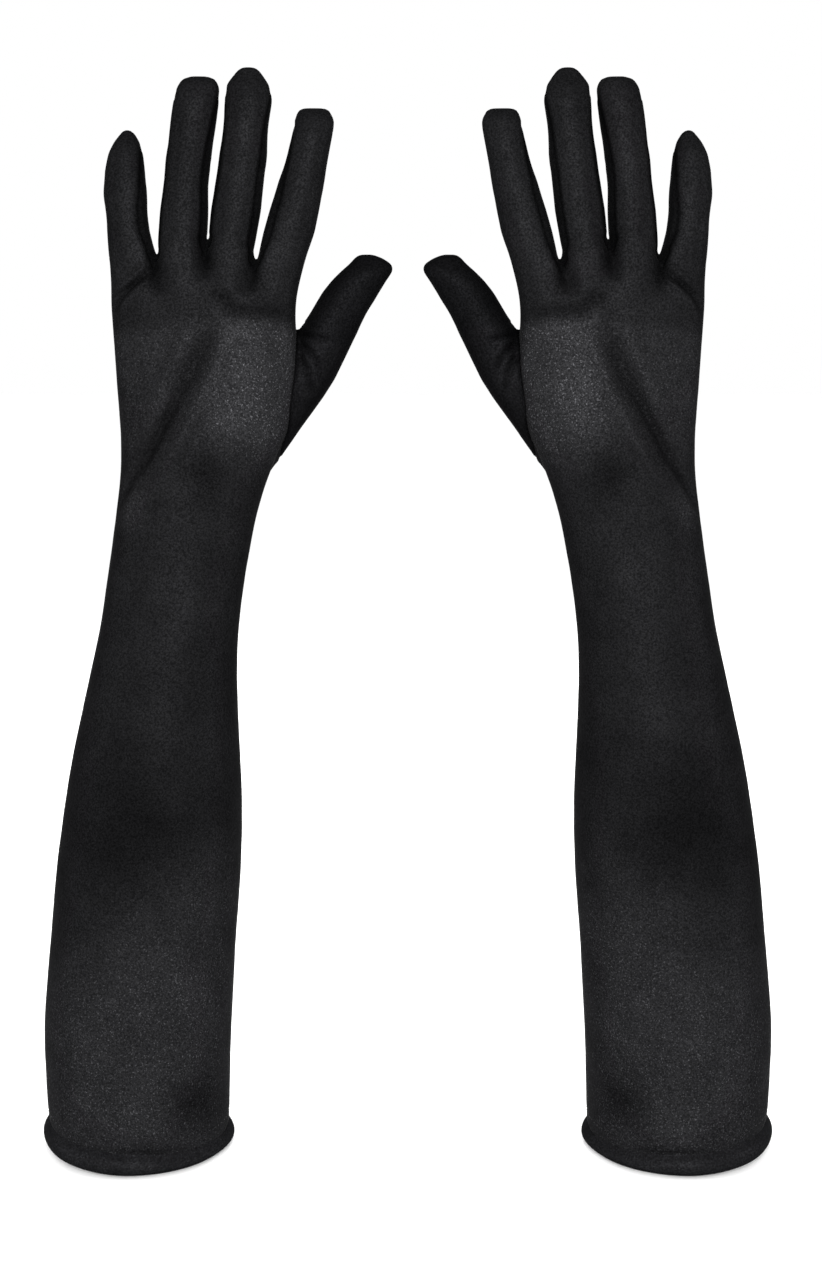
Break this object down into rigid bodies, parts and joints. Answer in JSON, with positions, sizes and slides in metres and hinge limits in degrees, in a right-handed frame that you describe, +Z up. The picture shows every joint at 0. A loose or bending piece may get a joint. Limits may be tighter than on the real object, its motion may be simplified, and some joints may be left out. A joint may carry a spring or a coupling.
{
  "type": "pair of opera gloves",
  "caption": "Pair of elbow-length stretch-satin gloves, shaped as worn with the fingers up, with set-in thumbs, fourchettes and turned-up hems.",
  "frame": {"origin": "midway between the two hems, in the plane of their lower edges", "axes": "+Z up towards the fingertips, +X from the left glove to the right glove, +Y out of the palms"},
  "size_m": [0.3256, 0.0836, 0.4688],
  "materials": {
    "trank_satin": "stretch satin, soft sheen",
    "thumb_satin": "stretch satin, soft sheen",
    "fourchette_satin": "stretch satin, soft sheen",
    "hem_satin": "stretch satin, soft sheen",
    "thread": "twisted polyester thread"
  },
  "bodies": {
    "left_forearm": {"left_hem": "hem_satin", "left_hem_thread": "thread", "left_sleeve": "trank_satin", "left_sleeve_seam_thread": "thread", "left_wrist": "trank_satin", "left_wrist_seam_thread": "thread"},
    "left_palm": {"left_hand": "trank_satin", "left_hand_seam_thread": "thread", "left_thumb_gore": "thumb_satin", "left_crotches": "fourchette_satin"},
    "left_thumb": {"left_thumb_base": "thumb_satin"},
    "left_thumb_end": {"left_thumb_tip": "thumb_satin"},
    "left_index": {"left_index_base": "trank_satin", "left_index_base_fourchette": "fourchette_satin"},
    "left_index_end": {"left_index_tip": "trank_satin", "left_index_tip_fourchette": "fourchette_satin"},
    "left_middle": {"left_middle_base": "trank_satin", "left_middle_base_fourchette": "fourchette_satin"},
    "left_middle_end": {"left_middle_tip": "trank_satin", "left_middle_tip_fourchette": "fourchette_satin"},
    "left_ring": {"left_ring_base": "trank_satin", "left_ring_base_fourchette": "fourchette_satin"},
    "left_ring_end": {"left_ring_tip": "trank_satin", "left_ring_tip_fourchette": "fourchette_satin"},
    "left_little": {"left_little_base": "trank_satin", "left_little_base_fourchette": "fourchette_satin"},
    "left_little_end": {"left_little_tip": "trank_satin", "left_little_tip_fourchette": "fourchette_satin"},
    "right_forearm": {"right_hem": "hem_satin", "right_hem_thread": "thread", "right_sleeve": "trank_satin", "right_sleeve_seam_thread": "thread", "right_wrist": "trank_satin", "right_wrist_seam_thread": "thread"},
    "right_palm": {"right_hand": "trank_satin", "right_hand_seam_thread": "thread", "right_thumb_gore": "thumb_satin", "right_crotches": "fourchette_satin"},
    "right_thumb": {"right_thumb_base": "thumb_satin"},
    "right_thumb_end": {"right_thumb_tip": "thumb_satin"},
    "right_index": {"right_index_base": "trank_satin", "right_index_base_fourchette": "fourchette_satin"},
    "right_index_end": {"right_index_tip": "trank_satin", "right_index_tip_fourchette": "fourchette_satin"},
    "right_middle": {"right_middle_base": "trank_satin", "right_middle_base_fourchette": "fourchette_satin"},
    "right_middle_end": {"right_middle_tip": "trank_satin", "right_middle_tip_fourchette": "fourchette_satin"},
    "right_ring": {"right_ring_base": "trank_satin", "right_ring_base_fourchette": "fourchette_satin"},
    "right_ring_end": {"right_ring_tip": "trank_satin", "right_ring_tip_fourchette": "fourchette_satin"},
    "right_little": {"right_little_base": "trank_satin", "right_little_base_fourchette": "fourchette_satin"},
    "right_little_end": {"right_little_tip": "trank_satin", "right_little_tip_fourchette": "fourchette_satin"}
  },
  "joints": [
    {"name": "left_wrist_bend", "type": "hinge", "parent": "left_forearm", "child": "left_palm", "pos_m": [-0.095, 0, 0.281], "axis": [-1, 0, 0], "range_deg": [-50, 60], "deforming": ["left_wrist", "left_wrist_seam_thread"]},
    {"name": "left_thumb_bend", "type": "hinge", "parent": "left_palm", "child": "left_thumb", "pos_m": [-0.0335, 0.0208, 0.36185], "axis": [-1, 0, 0], "range_deg": [0, 50]},
    {"name": "left_thumb_tip_bend", "type": "hinge", "parent": "left_thumb", "child": "left_thumb_end", "pos_m": [-0.0253, 0.0196, 0.37585], "axis": [-1, 0, 0], "range_deg": [0, 45]},
    {"name": "left_index_knuckle_bend", "type": "hinge", "parent": "left_palm", "child": "left_index", "pos_m": [-0.0533, 0.0096, 0.39085], "axis": [-1, 0, 0], "range_deg": [0, 80]},
    {"name": "left_index_middle_bend", "type": "hinge", "parent": "left_index", "child": "left_index_end", "pos_m": [-0.0452, 0.0098, 0.42085], "axis": [-1, 0, 0], "range_deg": [0, 80]},
    {"name": "left_middle_knuckle_bend", "type": "hinge", "parent": "left_palm", "child": "left_middle", "pos_m": [-0.0743, 0.0098, 0.39885], "axis": [-1, 0, 0], "range_deg": [0, 80]},
    {"name": "left_middle_middle_bend", "type": "hinge", "parent": "left_middle", "child": "left_middle_end", "pos_m": [-0.0693, 0.01, 0.43185], "axis": [-1, 0, 0], "range_deg": [0, 80]},
    {"name": "left_ring_knuckle_bend", "type": "hinge", "parent": "left_palm", "child": "left_ring", "pos_m": [-0.0949, 0.0096, 0.39885], "axis": [-1, 0, 0], "range_deg": [0, 80]},
    {"name": "left_ring_middle_bend", "type": "hinge", "parent": "left_ring", "child": "left_ring_end", "pos_m": [-0.0924, 0.0097, 0.42985], "axis": [-1, 0, 0], "range_deg": [0, 80]},
    {"name": "left_little_knuckle_bend", "type": "hinge", "parent": "left_palm", "child": "left_little", "pos_m": [-0.1164, 0.009, 0.39285], "axis": [-1, 0, 0], "range_deg": [0, 80]},
    {"name": "left_little_middle_bend", "type": "hinge", "parent": "left_little", "child": "left_little_end", "pos_m": [-0.119, 0.0088, 0.41685], "axis": [-1, 0, 0], "range_deg": [0, 80]},
    {"name": "right_wrist_bend", "type": "hinge", "parent": "right_forearm", "child": "right_palm", "pos_m": [0.095, 0, 0.281], "axis": [-1, 0, 0], "range_deg": [-50, 60], "deforming": ["right_wrist", "right_wrist_seam_thread"]},
    {"name": "right_thumb_bend", "type": "hinge", "parent": "right_palm", "child": "right_thumb", "pos_m": [0.0335, 0.0208, 0.36185], "axis": [-1, 0, 0], "range_deg": [0, 50]},
    {"name": "right_thumb_tip_bend", "type": "hinge", "parent": "right_thumb", "child": "right_thumb_end", "pos_m": [0.0253, 0.0196, 0.37585], "axis": [-1, 0, 0], "range_deg": [0, 45]},
    {"name": "right_index_knuckle_bend", "type": "hinge", "parent": "right_palm", "child": "right_index", "pos_m": [0.0533, 0.0096, 0.39085], "axis": [-1, 0, 0], "range_deg": [0, 80]},
    {"name": "right_index_middle_bend", "type": "hinge", "parent": "right_index", "child": "right_index_end", "pos_m": [0.0452, 0.0098, 0.42085], "axis": [-1, 0, 0], "range_deg": [0, 80]},
    {"name": "right_middle_knuckle_bend", "type": "hinge", "parent": "right_palm", "child": "right_middle", "pos_m": [0.0743, 0.0098, 0.39885], "axis": [-1, 0, 0], "range_deg": [0, 80]},
    {"name": "right_middle_middle_bend", "type": "hinge", "parent": "right_middle", "child": "right_middle_end", "pos_m": [0.0693, 0.01, 0.43185], "axis": [-1, 0, 0], "range_deg": [0, 80]},
    {"name": "right_ring_knuckle_bend", "type": "hinge", "parent": "right_palm", "child": "right_ring", "pos_m": [0.0949, 0.0096, 0.39885], "axis": [-1, 0, 0], "range_deg": [0, 80]},
    {"name": "right_ring_middle_bend", "type": "hinge", "parent": "right_ring", "child": "right_ring_end", "pos_m": [0.0924, 0.0097, 0.42985], "axis": [-1, 0, 0], "range_deg": [0, 80]},
    {"name": "right_little_knuckle_bend", "type": "hinge", "parent": "right_palm", "child": "right_little", "pos_m": [0.1164, 0.009, 0.39285], "axis": [-1, 0, 0], "range_deg": [0, 80]},
    {"name": "right_little_middle_bend", "type": "hinge", "parent": "right_little", "child": "right_little_end", "pos_m": [0.119, 0.0088, 0.41685], "axis": [-1, 0, 0], "range_deg": [0, 80]},
    {"name": "right_glove_apart", "type": "slide", "parent": "left_forearm", "child": "right_forearm", "axis": [1, 0, 0], "range_m": [0, 0.06]}
  ]
}
